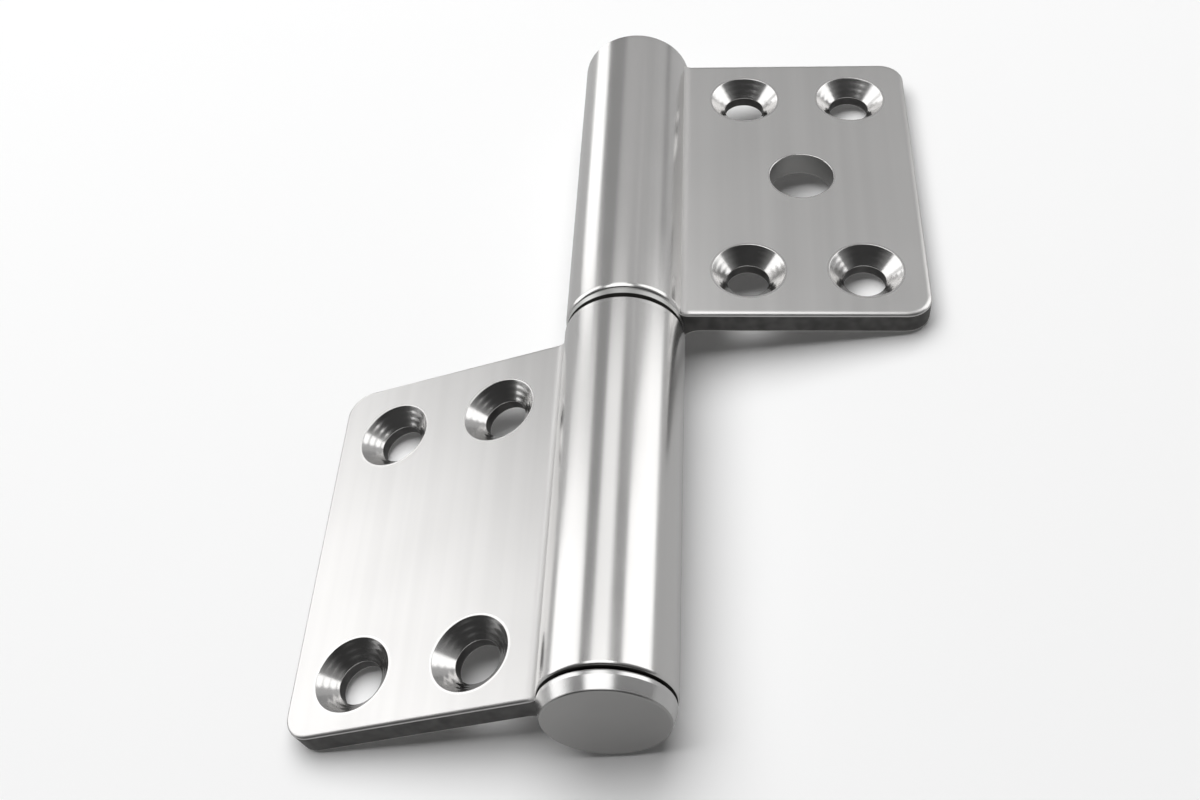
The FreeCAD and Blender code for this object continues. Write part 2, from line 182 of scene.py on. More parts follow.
class HingeLeafSizes(bpy.types.PropertyGroup):
    """Sizes of both leaves."""

    barrel_radius: length("Barrel radius", 9.0 * MM, "Outside of a knuckle")
    knuckle_past_leaf: length("Knuckle past leaf", 1.4 * MM, "Knuckle beyond its leaf at one end")
    knuckle_rim: length("Knuckle rim", 0.6 * MM, "Chamfer of a knuckle's free rim")
    reach: length("Reach", 45.8 * MM, "Pin's axis to a leaf's outer edge")
    thickness: length("Thickness", 4.0 * MM, "Plate of a leaf")
    face_offset: length("Face offset", 3.0 * MM, "Pin's axis to the countersunk face")
    corner: length("Corner", 4.0 * MM, "Radius of the outer corners")
    lower_rim: length("Lower leaf's rim", 0.4 * MM, "Depth of its polished rim")
    lower_rim_width: length("Lower leaf's rim width", 0.6 * MM, "Width of its polished rim")
    upper_rim: length("Upper leaf's rim", 0.5 * MM, "Depth of its polished rim")
    upper_rim_width: length("Upper leaf's rim width", 0.9 * MM, "Width of its polished rim")
    front_root: length("Front root", 1.5 * MM, "Hollow between countersunk face and barrel")
    back_root: length("Back root", 3.0 * MM, "Hollow between back face and barrel")
    first_column: length("First column", 18.6 * MM, "Pin's axis to the nearer screws")
    column_pitch: length("Column pitch", 17.8 * MM, "Between the two columns of screws")
    row_pitch: length("Row pitch", 41.0 * MM, "Between the two rows of screws")
    lower_row: length("Lower leaf's row", 8.5 * MM, "Level end of the lower leaf to its first row")
    upper_row: length("Upper leaf's row", 9.3 * MM, "Level end of the upper leaf to its first row")
    screw_radius: length("Screw hole", 3.25 * MM, "Radius of a screw hole's straight part")
    sink_radius: length("Countersink", 5.6 * MM, "Radius of a countersink's rim")
    centre_radius: length("Centre hole", 5.1 * MM, "Radius of the upper leaf's plain hole")
    centre_height: length("Centre hole's height", 30.8 * MM, "Level end to the plain hole")
    lower_ridges: length("Lower leaf's ridges", 0.014 * MM, "Depth of its countersinks' turning ridges")
    upper_ridges: length("Upper leaf's ridges", 0.006 * MM, "Depth of its countersinks' turning ridges")
    ridge_count: bpy.props.IntProperty(
        name="Ridges", description="Turning ridges down a countersink", default=3, min=0
    )
    break_edge: length("Broken edge", 0.16 * MM, "Easing of the rims of the holes")
    lower_bore: length("Lower bore", 5.02 * MM, "Radius of the bore that holds the pin")
    upper_bore: length("Upper bore", 5.05 * MM, "Radius of the bore that turns on the pin")
    bore_depth: length("Bore depth", 47.25 * MM, "Depth of the upper leaf's blind bore")
    bore_mouth: length("Bore mouth", 0.6 * MM, "Chamfer at the mouth of the upper bore")
    rest_turn: turn("Rest turn", 20.6, "Turn of the upper leaf about the pin at rest")


class HingeTurnedSizes(bpy.types.PropertyGroup):
    """Sizes of the cap, washer and pin."""

    cap_radius: length("Cap radius", 8.8 * MM, "Head of the end cap")
    cap_thickness: length("Cap thickness", 2.9 * MM, "Head of the end cap, as far as the dark gap shows")
    cap_lean: length("Cap lean", 0.6 * MM, "Cap's side leaning in towards its face")
    cap_lean_height: length("Cap lean height", 2.0 * MM, "Leaning part of the cap's side")
    cap_rim: length("Cap rim", 0.3 * MM, "Rounding between the cap's side and face")
    cap_back_rim: length("Cap back rim", 0.5 * MM, "Rounding of the cap's inner rim")
    neck_radius: length("Neck radius", 7.8 * MM, "Neck between cap and knuckle")
    washer_rim: length("Washer rim", 0.25 * MM, "Chamfer of the washer's outer rims")
    washer_bore: length("Washer bore", 5.2 * MM, "Inside of the washer")
    pin_radius: length("Pin radius", 5.0 * MM, "Hinge pin and the cap's spigot")
    pin_top: length("Pin lead-in", 1.2 * MM, "Chamfer at the pin's top")
    pin_foot: length("Pin foot", 0.5 * MM, "Chamfer at the pin's foot")
    easing: length("Easing", 0.08 * MM, "Small rounding of a turned corner")


class HingeFinish(bpy.types.PropertyGroup):
    """Colours and finish of the steel. The colours of the gaps, the unpolished faces, the bores and the
    cap's face are painted shade.
    """

    cast_colour: tint("Leaves", (0.68, 0.672, 0.664), "Cast stainless steel of both leaves")
    cap_colour: tint("Cap", (0.68, 0.675, 0.67), "Polished side of the end cap")
    # Painted shade: the cap's face is darker than its side for the shaded floor that it mirrors.
    cap_face_shade_colour: tint("Cap face", (0.43, 0.426, 0.42), "Duller round face of the end cap")
    washer_colour: tint("Washer", (0.60, 0.60, 0.59), "Steel of the thrust washer")
    ground_colour: tint("Pin", (0.68, 0.68, 0.67), "Ground steel of the pin")
    # Painted shade: near black on the faces in the narrow gaps, where shade falls.
    gap_shade_colour: tint("Film", (0.05, 0.048, 0.045), "Painted shade on the faces in the narrow gaps")
    satin_metallic: share("Satin metallic", 0.93, "Satin skin, which scatters a little light evenly")
    plate_roughness: share("Plate roughness", 0.277, "Satin of the flat leaves")
    barrel_roughness: share("Barrel roughness", 0.17, "Finish of the barrels")
    root_roughness: share("Root roughness", 0.65, "Unpolished hollow between leaf and barrel")
    turned_roughness: share("Turned roughness", 0.15, "Finish inside the holes")
    # Painted shade: the end faces and the walls of the screw holes are darkened for the shade that they
    # mirror.
    dull_shade_colour: tint("Dull faces", (0.14, 0.138, 0.135), "Unpolished end faces and walls of the holes")
    dull_roughness: share("Dull roughness", 0.5, "Unpolished end faces and walls of the holes")
    # Painted shade: the walls of the bores and of the plain hole are darkened for the shade in them.
    bored_shade_colour: tint("Bored faces", (0.34, 0.337, 0.33), "Walls of the bores and the plain hole")
    bored_roughness: share("Bored roughness", 0.3, "Walls of the bores and the plain hole")
    gap_shade_roughness: share("Film roughness", 0.6, "Painted shade on the faces in the narrow gaps")
    cap_roughness: share("Cap roughness", 0.2, "Finish of the end cap's side")
    cap_face_roughness: share("Cap face roughness", 0.28, "Finish of the end cap's face")
    washer_roughness: share("Washer roughness", 0.28, "Finish of the thrust washer")
    pin_roughness: share("Pin roughness", 0.14, "Finish of the ground pin")


class HingeStage(bpy.types.PropertyGroup):
    """Camera, lamps and floor."""

    lens: bpy.props.FloatProperty(
        name="Lens", description="Focal length on a 36 mm wide sensor", default=43.3225, min=1.0
    )
    aim: bpy.props.FloatVectorProperty(
        name="Aim", description="Point that the camera looks at", size=3, unit="LENGTH",
        default=(21.749 * MM, 3.687 * MM, 24.647 * MM), precision=6
    )
    distance: length("Distance", 217.64 * MM, "Camera to the aim")
    azimuth: turn("Azimuth", 25.6855, "Camera round the pin from straight in front")
    elevation: turn("Elevation", -39.6575, "Camera above the level of the aim")
    roll: turn("Roll", 3.574, "Camera about its own line of sight")
    floor_turn: turn("Floor turn", 10.3, "Turn about the pin of the floor under both leaves")
    floor_gap: length("Floor gap", 9.1 * MM, "Pin's axis to the floor")
    floor_size: length("Floor size", 3.0, "Side of the square floor")
    floor_colour: tint("Floor colour", (0.93, 0.93, 0.93), "Pale floor where it is seen")
    floor_mirrored: tint("Floor in the metal", (0.42, 0.42, 0.42), "Pale floor where it is mirrored")
    floor_white: share("Floor white", 0.17, "Share of plain white in the floor where it is mirrored")
    floor_level: amount("Floor panel", 3.0, "Radiance of the panel that lights only the floor")
    floor_lamp_height: turn("Floor panel's height", 73.0, "Floor's panel above the floor")
    floor_lamp_left: share("Floor panel's side", 0.12, "How far to the left the floor's panel stands")
    floor_lamp_size: amount("Floor panel's size", 2.5, "Side of the floor's panel, in reaches")
    floor_lamp_distance: amount("Floor panel's distance", 2.0, "From the hinge, in reaches")
    reach: length("Reach", 0.5, "From the hinge to the walls and ceiling of panels")
    level: amount("Level", 1.0, "Radiance of all panels together")
    room: amount("Room", 0.33, "Radiance of the room beyond the hinge")
    room_near: amount("Room near", 0.04, "Radiance of the room on the camera's side")
    room_behind: amount("Room behind", 0.5, "Radiance of the wall behind the camera")
    room_fill: share("Room fill", 0.3, "Share of the room's light that falls on the matt floor")


def pairs(first, second):
    """Points from two coordinates, of which one may be a single number."""
    return np.stack(np.broadcast_arrays(first, second), -1)


def arc(centre, radius, start, end, count):
    """Points on a circle: centre plus radius times the cosine and sine of evenly spaced angles.

    Returns the points and the unit vectors from the centre to them.
    """
    angles = np.linspace(start, end, count)
    spokes = pairs(np.cos(angles), np.sin(angles))
    return np.asarray(centre) + radius * spokes, spokes


def eased(corners, radii, steps=ROUND_STEPS):
    """Line through corners in a plane, with each inner corner replaced by an arc of its radius.

    An arc starts one tangent length before its corner: the radius times the tangent of half the
    turn. Returns the points and the unit directions of travel there.
    """
    corners = np.asarray(corners, float)
    sides = np.diff(corners, axis=0)
    ways = sides / np.linalg.norm(sides, axis=1)[:, None]
    points, travel = [corners[:1]], [ways[:1]]
    for corner, radius, before, after in zip(corners[1:-1], radii, ways[:-1], ways[1:]):
        bend = math.atan2(before[0] * after[1] - before[1] * after[0], before @ after)
        inward = math.copysign(1.0, bend) * np.array([-before[1], before[0]])
        centre = corner - before * radius * math.tan(abs(bend) / 2) + inward * radius
        angles = np.linspace(0.0, bend, steps + 1)[:, None]
        points.append(centre + turned_by(-inward * radius, angles))
        travel.append(turned_by(before, angles))
    points.append(corners[-1:])
    travel.append(ways[-1:])
    return np.concatenate(points), np.concatenate(travel)


def turned_by(vector, angles):
    """Vector in a plane turned by each angle: cosine times it plus sine times its left normal."""
    left = np.array([-vector[1], vector[0]])
    return np.cos(angles) * vector + np.sin(angles) * left


def refined(points, travel, step):
    """The same line with its long sides divided evenly, so that no side is longer than step."""
    sides = np.linalg.norm(np.diff(points, axis=0), axis=1)
    along = np.append(0.0, np.cumsum(sides))
    counts = np.maximum(1, np.ceil(sides / step)).astype(int)
    stops = [np.linspace(a, b, n + 1)[:-1] for a, b, n in zip(along[:-1], along[1:], counts)]
    stops = np.append(np.concatenate(stops), along[-1])
    between = [np.interp(stops, along, values) for values in (*points.T, *travel.T)]
    ways = np.stack(between[2:], -1)
    return np.stack(between[:2], -1), ways / np.linalg.norm(ways, axis=1)[:, None]


def stations(low, high, step=OUTLINE_STEP):
    """Evenly spaced numbers from low to high, at most one step apart."""
    return np.linspace(low, high, max(2, int(math.ceil(abs(high - low) / step)) + 1))


def raised(plan, height):
    """Points in X and Y with a Z put to each: one number, or an array that fits the plan's grid."""
    height = np.broadcast_to(height, plan.shape[:-1])
    return np.concatenate([plan, height[..., None]], -1)


def at_depth(plan, depth):
    """Points in X and Z with a Y put between them: one number, or an array that fits the plan's grid."""
    return np.stack([plan[..., 0], np.broadcast_to(depth, plan.shape[:-1]), plan[..., 1]], -1)


class Shell:
    """Patches that make up one piece. A patch is a grid of points with the outward normal at each."""

    def __init__(self, axes=np.eye(3), base=(0.0, 0.0, 0.0)):
        self.axes = np.asarray(axes, float)
        self.base = np.asarray(base, float)
        self.points, self.normals, self.grain, self.corners, self.finish = [], [], [], [], []
        self.count = 0

    def add(self, points, normals, finish=SKIN, grain=None):
        """Adds a grid. normals is a grid too, or one row or vector that all rows or points share,
        finish the place of its material, or of each quad's, and grain the finish's own pair of
        coordinates, in metres.
        """
        rows, columns = points.shape[:2]
        normals = np.broadcast_to(normals, points.shape)
        grain = points[..., ::2] if grain is None else grain
        points = (points @ self.axes.T + self.base).reshape(-1, 3)
        normals = (normals @ self.axes.T).reshape(-1, 3)
        numbers = np.arange(rows * columns).reshape(rows, columns)
        corners = np.stack(
            [numbers[:-1, :-1], numbers[1:, :-1], numbers[1:, 1:], numbers[:-1, 1:]], -1
        ).reshape(-1, 4)
        cells = points[corners]
        facing = np.cross(cells[:, 2] - cells[:, 0], cells[:, 3] - cells[:, 1])
        if (facing * normals[corners].sum(1)).sum() < 0:
            corners = corners[:, ::-1]
        self.points.append(points)
        self.normals.append(normals)
        self.grain.append(grain.reshape(-1, 2))
        self.corners.append(corners + self.count)
        self.finish.append(np.broadcast_to(finish, (rows - 1, columns - 1)).ravel())
        self.count += len(points)

    def build(self, name, materials):
        """Welds the patches into a mesh with the given normals, and puts it in the scene."""
        points = np.concatenate(self.points)
        keys = np.round(points / WELD + WELD_SHIFT).astype(np.int64)
        _, first, welded = np.unique(keys, axis=0, return_index=True, return_inverse=True)
        corners = np.concatenate(self.corners)
        numbers = welded.reshape(-1)[corners]
        kept = numbers != np.roll(numbers, -1, axis=1)
        kept &= (kept.sum(1) > 2)[:, None]
        totals = kept.sum(1)
        totals, finish = totals[totals > 0], np.concatenate(self.finish)[totals > 0]
        mesh = bpy.data.meshes.new(name)
        mesh.vertices.add(len(first))
        mesh.vertices.foreach_set("co", points[first].astype(np.float32).ravel())
        mesh.loops.add(int(totals.sum()))
        mesh.loops.foreach_set("vertex_index", numbers[kept].astype(np.int32))
        mesh.polygons.add(len(totals))
        mesh.polygons.foreach_set("loop_start", (np.cumsum(totals) - totals).astype(np.int32))
        mesh.polygons.foreach_set("material_index", finish.astype(np.int32))
        mesh.update(calc_edges=True)
        mesh.shade_smooth()
        grain = mesh.uv_layers.new(name="grain")
        grain.data.foreach_set("uv", np.concatenate(self.grain)[corners[kept]].astype(np.float32).ravel())
        mesh.normals_split_custom_set(np.concatenate(self.normals)[corners[kept]].tolist())
        for material in materials:
            mesh.materials.append(material)
        piece = bpy.data.objects.new(name, mesh)
        bpy.context.scene.collection.objects.link(piece)
        return piece


def revolve(shell, profile, travel, angles, finish):
    """Profile of (radius, height) carried round Z: (radius cos, radius sin, height) at each angle.

    The outward normal is the direction of travel turned a quarter to its right.
    """
    radius, height = profile[:, :1], profile[:, 1:]
    spokes = pairs(np.cos(angles), np.sin(angles))
    points = raised(radius[:, None] * spokes, height)
    normals = raised(travel[:, None, 1:] * spokes, -travel[:, :1])
    shell.add(points, normals, finish, turned_grain(profile, angles))


def turned_grain(profile, angles):
    """Finish coordinates of a turned surface: length round its largest circle, length down its profile."""
    down = np.append(0.0, np.cumsum(np.linalg.norm(np.diff(profile, axis=0), axis=1)))
    around = angles * profile[:, 0].max()
    return pairs(around[None, :], down[:, None])


def leaf_end(size):
    """Height of a leaf's end at its knuckle's free rim."""
    return KNUCKLE_LENGTH - size.knuckle_past_leaf


def leaf_section(size):
    """Outline across the pin: plate's face, front hollow, barrel, back hollow and plate's back.

    A hollow is an arc that touches the plate and the barrel, so its centre lies one hollow's radius
    off both. Returns the points and outward normals in X and Y, and where the plain plate begins.
    """
    radius, face = size.barrel_radius, size.face_offset
    back = size.thickness - face
    front_x = math.sqrt((radius + size.front_root) ** 2 - (face + size.front_root) ** 2)
    back_x = math.sqrt((radius + size.back_root) ** 2 - (back + size.back_root) ** 2)
    front_turn = math.atan2(face + size.front_root, front_x)
    back_turn = math.atan2(back + size.back_root, back_x)
    plate_x = max(front_x, back_x) + size.break_edge
    front, front_spokes = arc(
        (front_x, -face - size.front_root), size.front_root, math.pi / 2, math.pi - front_turn, ROOT_STEPS
    )
    barrel, barrel_spokes = arc(
        (0.0, 0.0), radius, -front_turn, back_turn - 2 * math.pi, BARREL_STEPS
    )
    hollow, hollow_spokes = arc(
        (back_x, back + size.back_root), size.back_root, math.pi + back_turn, 1.5 * math.pi, ROOT_STEPS
    )
    points = [[(plate_x, -face)], front, barrel[1:-1], hollow, [(plate_x, back)]]
    normals = [[(0.0, -1.0)], -front_spokes, barrel_spokes[1:-1], -hollow_spokes, [(0.0, 1.0)]]
    return np.concatenate(points), np.concatenate(normals), plate_x


def ellipse_normal(turns, edge, width):
    """Unit normal of the rim's ellipse: width times the cosine out of the wall, edge times the sine up."""
    out, over = width * np.cos(turns), edge * np.sin(turns)
    size = np.hypot(out, over)
    return out / size, over / size


def rounding(points, normals, turns, edge, width, end, up):
    """Quarter of an ellipse along an end of an outline: it leans in by edge times one less the cosine
    of its turn, and ends width times one less the sine short of the end.

    turns is (rows, columns). up is 1 at the top end and -1 at the bottom one.
    """
    inset = edge * (1.0 - np.cos(turns))
    short = width * (1.0 - np.sin(turns))
    plan = points[None] - normals[None] * inset[..., None]
    out, over = ellipse_normal(turns, edge, width)
    return raised(plan, end - up * short), raised(out[..., None] * normals[None], up * over)


def add_section_wall(shell, size, rim_sizes, section, heights, beside_cap):
    """The section carried along the pin: its rounding at the level end, then its wall at the heights.

    Where the cap stands beside that end, the barrel's last steps lie in the gap and take painted shade.
    """
    (edge, width), (points, normals) = rim_sizes, section
    quarter = np.linspace(0.0, math.pi / 2, ROUND_STEPS + 1)[:, None]
    turns = np.broadcast_to(quarter, (ROUND_STEPS + 1, len(points)))
    on_barrel = np.abs(np.hypot(*points.T) - size.barrel_radius) < WELD
    in_gap = (np.arange(ROUND_STEPS) >= GAP_SHADE_STEP)[:, None] & on_barrel[:-1] & on_barrel[1:]
    in_gap &= beside_cap
    shell.add(*rounding(points, normals, turns, edge, width, 0.0, -1.0), np.where(in_gap, LEAF_GAP_SHADE, SKIN))
    plan = np.broadcast_to(points, (len(heights), *points.shape))
    shell.add(raised(plan, heights[:, None]), raised(normals, 0.0))


def add_ledge(shell, size, rim_sizes, section, bridge):
    """The section's upper rounding, the ledge from it in to the barrel, and the barrel just above.

    The rounding stops where its way in meets the barrel, and is nothing on the barrel: from a point p
    with normal n the way is p.n less the root of (p.n) squared less p squared plus the radius squared.
    The ledge's columns run on along the bridge. Returns their angles about the pin.
    """
    (edge, width), (points, normals) = rim_sizes, section
    radius, end = size.barrel_radius, leaf_end(size)
    ahead = (points * normals).sum(-1)
    spare = ahead**2 - (points**2).sum(-1) + radius**2
    meets = ahead - np.sqrt(np.maximum(spare, 0.0))
    inset = np.clip(np.where(spare >= 0.0, meets, edge), 0.0, edge)
    last = np.arccos(1.0 - inset / edge)
    turns = np.linspace(0.0, 1.0, ROUND_STEPS + 1)[:, None] * last
    shell.add(*rounding(points, normals, turns, edge, width, end, 1.0))
    ring = points - normals * inset[:, None]
    ring = np.concatenate([ring, bridge, ring[:1]])
    heights = end - width * (1.0 - np.sin(last))
    heights = np.concatenate([heights, np.full(len(bridge), end), heights[:1]])
    spokes = ring / np.linalg.norm(ring, axis=1)[:, None]
    shell.add(raised(np.stack([ring, radius * spokes]), heights), (0.0, 0.0, 1.0))
    above = np.full(len(spokes), end + size.break_edge)
    barrel = np.broadcast_to(radius * spokes, (2, *spokes.shape))
    shell.add(raised(barrel, np.stack([heights, above])), raised(spokes, 0.0))
    return np.unwrap(np.arctan2(spokes[:, 1], spokes[:, 0]))


def add_free_end(shell, size, angles, bore_through):
    """Barrel above its leaf with its broken rim, the end face, and the bore back to the level end."""
    radius, rim, easing = size.barrel_radius, size.knuckle_rim, size.break_edge
    start = leaf_end(size) + easing
    face_rim = radius - rim - 2 * easing
    barrel = [
        (radius, start), (radius, KNUCKLE_LENGTH - rim), (radius - rim, KNUCKLE_LENGTH),
        (face_rim, KNUCKLE_LENGTH),
    ]
    bore, mouth = size.upper_bore, size.bore_mouth
    walls = [(0.0, size.bore_depth), (bore, size.bore_depth), (bore, mouth), (bore + mouth, 0.0)]
    face = [(face_rim, KNUCKLE_LENGTH), (0.0, KNUCKLE_LENGTH)]
    if bore_through:
        walls = [(size.lower_bore, KNUCKLE_LENGTH), (size.lower_bore, 0.0)]
        face[1] = walls[0]
    # The lower knuckle's end face at the washer takes the gaps' painted shade, and the bore walls their own
    # painted shade.
    for corners, finish in ((barrel, TURNED), (face, LEAF_GAP_SHADE if bore_through else TURNED), (walls, BORED_SHADED)):
        revolve(shell, *eased(corners, [easing] * (len(corners) - 2)), angles, finish)


def add_level_end(shell, size, edge, section, bridge, angles, hole):
    """Flat end of leaf and knuckle in painted shade: an unpolished ring, and near black where it faces a
    narrow gap.
    """
    points, normals = section
    ring = points - normals * edge
    ring = np.concatenate([ring, bridge, ring[:1]])
    around = pairs(np.cos(angles), np.sin(angles))
    rows = raised(np.stack([ring, (size.barrel_radius - edge) * around, hole * around]), 0.0)
    shell.add(rows[:2], (0.0, 0.0, -1.0), DULL_SHADED)
    shell.add(rows[1:], (0.0, 0.0, -1.0), LEAF_GAP_SHADE)


def add_barrel(shell, size, rim_sizes, heights, bottom_hole, bore_through):
    """Knuckle, hollows and the strip of plate beside them, from the level end to the free rim.

    The bridge is the points across the plate's thickness that close the section on its own side.
    """
    *section, plate_x = leaf_section(size)
    edge, face = rim_sizes[0], size.face_offset
    across = np.linspace(size.thickness - face - edge, edge - face, FLAT_POINTS)[1:-1]
    bridge = pairs(plate_x, across)
    add_section_wall(shell, size, rim_sizes, section, heights, bore_through)
    angles = add_ledge(shell, size, rim_sizes, section, bridge)
    add_free_end(shell, size, angles, bore_through)
    add_level_end(shell, size, edge, section, bridge, angles, bottom_hole)


def leaf_outline(size, plate_x, middle_x, borders):
    """The leaf's outline from the plate's beginning at the bottom, round both corners, to the top.

    Straight runs are divided evenly between the given borders, and the corners are arcs. Returns
    points and outward normals in X and Z.
    """
    end, inner = leaf_end(size), size.reach - size.corner
    quarter, count = math.pi / 2, 2 * ROUND_STEPS + 1
    bottom = np.concatenate([stations(plate_x, middle_x)[:-1], stations(middle_x, inner)])
    stops = [size.corner, *borders, end - size.corner]
    side = np.concatenate([stations(a, b)[1:] for a, b in zip(stops[:-1], stops[1:])])
    low, low_spokes = arc((inner, size.corner), size.corner, -quarter, 0.0, count)
    high, high_spokes = arc((inner, end - size.corner), size.corner, 0.0, quarter, count)
    runs = [
        (pairs(bottom, 0.0), (0.0, -1.0)),
        (low[1:], low_spokes[1:]),
        (pairs(size.reach, side), (1.0, 0.0)),
        (high[1:], high_spokes[1:]),
        (pairs(bottom[-2::-1], end), (0.0, 1.0)),
    ]
    points = np.concatenate([run for run, _ in runs])
    normals = np.concatenate([np.broadcast_to(way, run.shape) for run, way in runs])
    return points, normals


def add_edge_band(shell, size, rim_sizes, outline, ways):
    """Rounding, flat and rounding across the leaf's thickness, carried along its outline."""
    (edge, width), face = rim_sizes, size.face_offset
    back = size.thickness - face
    quarter = np.linspace(math.pi / 2, 0.0, ROUND_STEPS + 1)
    flat = np.linspace(edge - face, back - edge, FLAT_POINTS)[1:-1]
    inwards = width * (1 - np.cos(quarter))
    inset = np.concatenate([inwards, np.zeros_like(flat), inwards[::-1]])
    depth = np.concatenate(
        [edge * (1 - np.sin(quarter)) - face, flat, back - edge * (1 - np.sin(quarter[::-1]))]
    )
    upwards, outwards = ellipse_normal(math.pi / 2 - quarter, edge, width)
    out = np.concatenate([outwards, np.ones_like(flat), outwards[::-1]])
    over = np.concatenate([-upwards, np.zeros_like(flat), upwards[::-1]])
    plan = outline[None] - ways[None] * inset[:, None, None]
    lean = ways[None] * out[:, None, None]
    # The flat strips across the thickness take the unpolished steel's painted shade.
    level_strips = (depth[:-1] >= edge - face - WELD) & (depth[1:] <= back - edge + WELD)
    finish = np.where(level_strips, DULL_SHADED, SKIN)[:, None]
    shell.add(at_depth(plan, depth[:, None]), at_depth(lean, over[:, None]), finish)


def cone_profile(size, ridge_height):
    """Countersunk hole as (radius, depth below the face), with ridges left by the tool on its cone.

    The ridges are cut into the cone: their depth is the ridge height times the squared sine of pi
    times their number times the share of the way down. The cone leans at 45 degrees, so their slope
    along it is the root of a half times their slope against the radius.
    """
    cone_depth = size.sink_radius - size.screw_radius
    rim = size.sink_radius + 2 * size.break_edge
    corners = [
        (rim, 0.0), (size.sink_radius, 0.0), (size.screw_radius, cone_depth),
        (size.screw_radius, size.thickness), (size.screw_radius + 2 * size.break_edge, size.thickness),
    ]
    points, travel = refined(*eased(corners, [size.break_edge] * 3), CONE_STEP)
    start = size.sink_radius - size.break_edge
    span = cone_depth - 2 * size.break_edge
    share_down = np.clip((start - points[:, 0]) / span, 0.0, 1.0)
    phase = math.pi * size.ridge_count * share_down
    on_cone = (share_down > 0.0) & (share_down < 1.0) & (points[:, 1] < cone_depth)
    depth = ridge_height * np.sin(phase) ** 2 * on_cone
    slope = ridge_height * np.sin(2 * phase) * math.pi * size.ridge_count / span * math.sqrt(0.5)
    outward = pairs(travel[:, 1], -travel[:, 0])
    ridged = travel + outward * (slope * on_cone)[:, None]
    return points + outward * depth[:, None], ridged / np.linalg.norm(ridged, axis=1)[:, None]


def plain_profile(size):
    """Plain hole as (radius, depth below the face), with both rims broken."""
    rim = size.centre_radius + 2 * size.break_edge
    hole, deep = size.centre_radius, size.thickness
    corners = [(rim, 0.0), (hole, 0.0), (hole, deep), (rim, deep)]
    return eased(corners, [size.break_edge] * 2)


def add_hole_cell(shell, size, seams, cell, hole):
    """One hole and the plate round it, on both faces.

    cell is its least and greatest X and Z, and hole its centre, its profile and the finish of its
    straight wall. The plate's faces run straight from each point of the cell's border to the rim's
    point at the same angle.
    """
    (x_low, x_high, z_low, z_high), ((x, z), (profile, travel), wall) = cell, hole
    inside = (seams[:, 0] > x_low - WELD) & (seams[:, 0] < x_high + WELD)
    inside &= (seams[:, 1] > z_low - WELD) & (seams[:, 1] < z_high + WELD)
    near = seams[inside]
    angles = np.round(np.arctan2(near[:, 1] - z, near[:, 0] - x), ANGLE_DIGITS)
    first = np.unique(angles, return_index=True)[1]
    border = np.concatenate([near[first], near[first[:1]]])
    angles = np.arctan2(border[:, 1] - z, border[:, 0] - x)
    spokes = pairs(np.cos(angles), np.sin(angles))
    for depth, radius, facing in ((0.0, profile[0, 0], -1.0), (size.thickness, profile[-1, 0], 1.0)):
        rows = np.stack([border, (x, z) + radius * spokes])
        shell.add(at_depth(rows, depth - size.face_offset), (0.0, facing, 0.0))
    points = at_depth((x, z) + profile[:, None, :1] * spokes, profile[:, 1:] - size.face_offset)
    normals = at_depth(-travel[:, None, 1:] * spokes, travel[:, :1])
    # The straight wall takes the finish given for it, whose colour is painted shade.
    narrow = profile[:, 0] < profile[:, 0].min() + WELD
    finish = np.where(narrow[:-1] & narrow[1:], wall, TURNED)[:, None]
    shell.add(points, normals, finish, turned_grain(profile, np.unwrap(angles)))


def add_plate(shell, size, rim_sizes, first_row, has_centre_hole):
    """Flat leaf beyond the hollows: its edge band, and a cell of both faces round each hole.

    Returns the heights at which the barrel's wall is divided.
    """
    plate_x = leaf_section(size)[2]
    columns = [size.first_column, size.first_column + size.column_pitch]
    rows = [first_row, first_row + size.row_pitch]
    middle_x = sum(columns) / 2
    if has_centre_hole:
        borders = [(rows[0] + size.centre_height) / 2, (size.centre_height + rows[1]) / 2]
    else:
        borders = [sum(rows) / 2]
    outline, ways = leaf_outline(size, plate_x, middle_x, borders)
    add_edge_band(shell, size, rim_sizes, outline, ways)
    width = rim_sizes[1]
    stops = [width, *borders, leaf_end(size) - width]
    spans = list(zip(stops[:-1], stops[1:]))
    heights = np.unique(np.concatenate([stations(a, b) for a, b in spans]))
    far_x = size.reach - width
    level_x = np.concatenate([stations(plate_x, middle_x), stations(middle_x, far_x)])
    seams = [outline - ways * width, pairs(plate_x, heights)]
    seams += [pairs(level_x, border) for border in borders]
    seams += [pairs(middle_x, stations(*span)) for span in (spans[0], spans[-1])]
    seams = np.concatenate(seams)
    screw = cone_profile(size, size.upper_ridges if has_centre_hole else size.lower_ridges)
    for row, (low, high) in zip(rows, (spans[0], spans[-1])):
        for column, (near, far) in zip(columns, ((plate_x, middle_x), (middle_x, far_x))):
            add_hole_cell(shell, size, seams, (near, far, low, high), ((column, row), screw, DULL_SHADED))
    if has_centre_hole:
        cell = (plate_x, far_x, *spans[1])
        centre = (middle_x, size.centre_height)
        # The plain hole's wall takes the bores' painted shade.
        add_hole_cell(shell, size, seams, cell, (centre, plain_profile(size), BORED_SHADED))
    return heights


def make_leaf(name, size, axes, base, first_row, bottom_hole, is_upper, materials):
    """One leaf with its knuckle, from the barrel's patches and the plate's."""
    shell = Shell(axes, base)
    rims = ((size.lower_rim, size.lower_rim_width), (size.upper_rim, size.upper_rim_width))
    rim_sizes = rims[int(is_upper)]
    heights = add_plate(shell, size, rim_sizes, first_row, is_upper)
    add_barrel(shell, size, rim_sizes, heights, bottom_hole, not is_upper)
    return shell.build(name, materials)


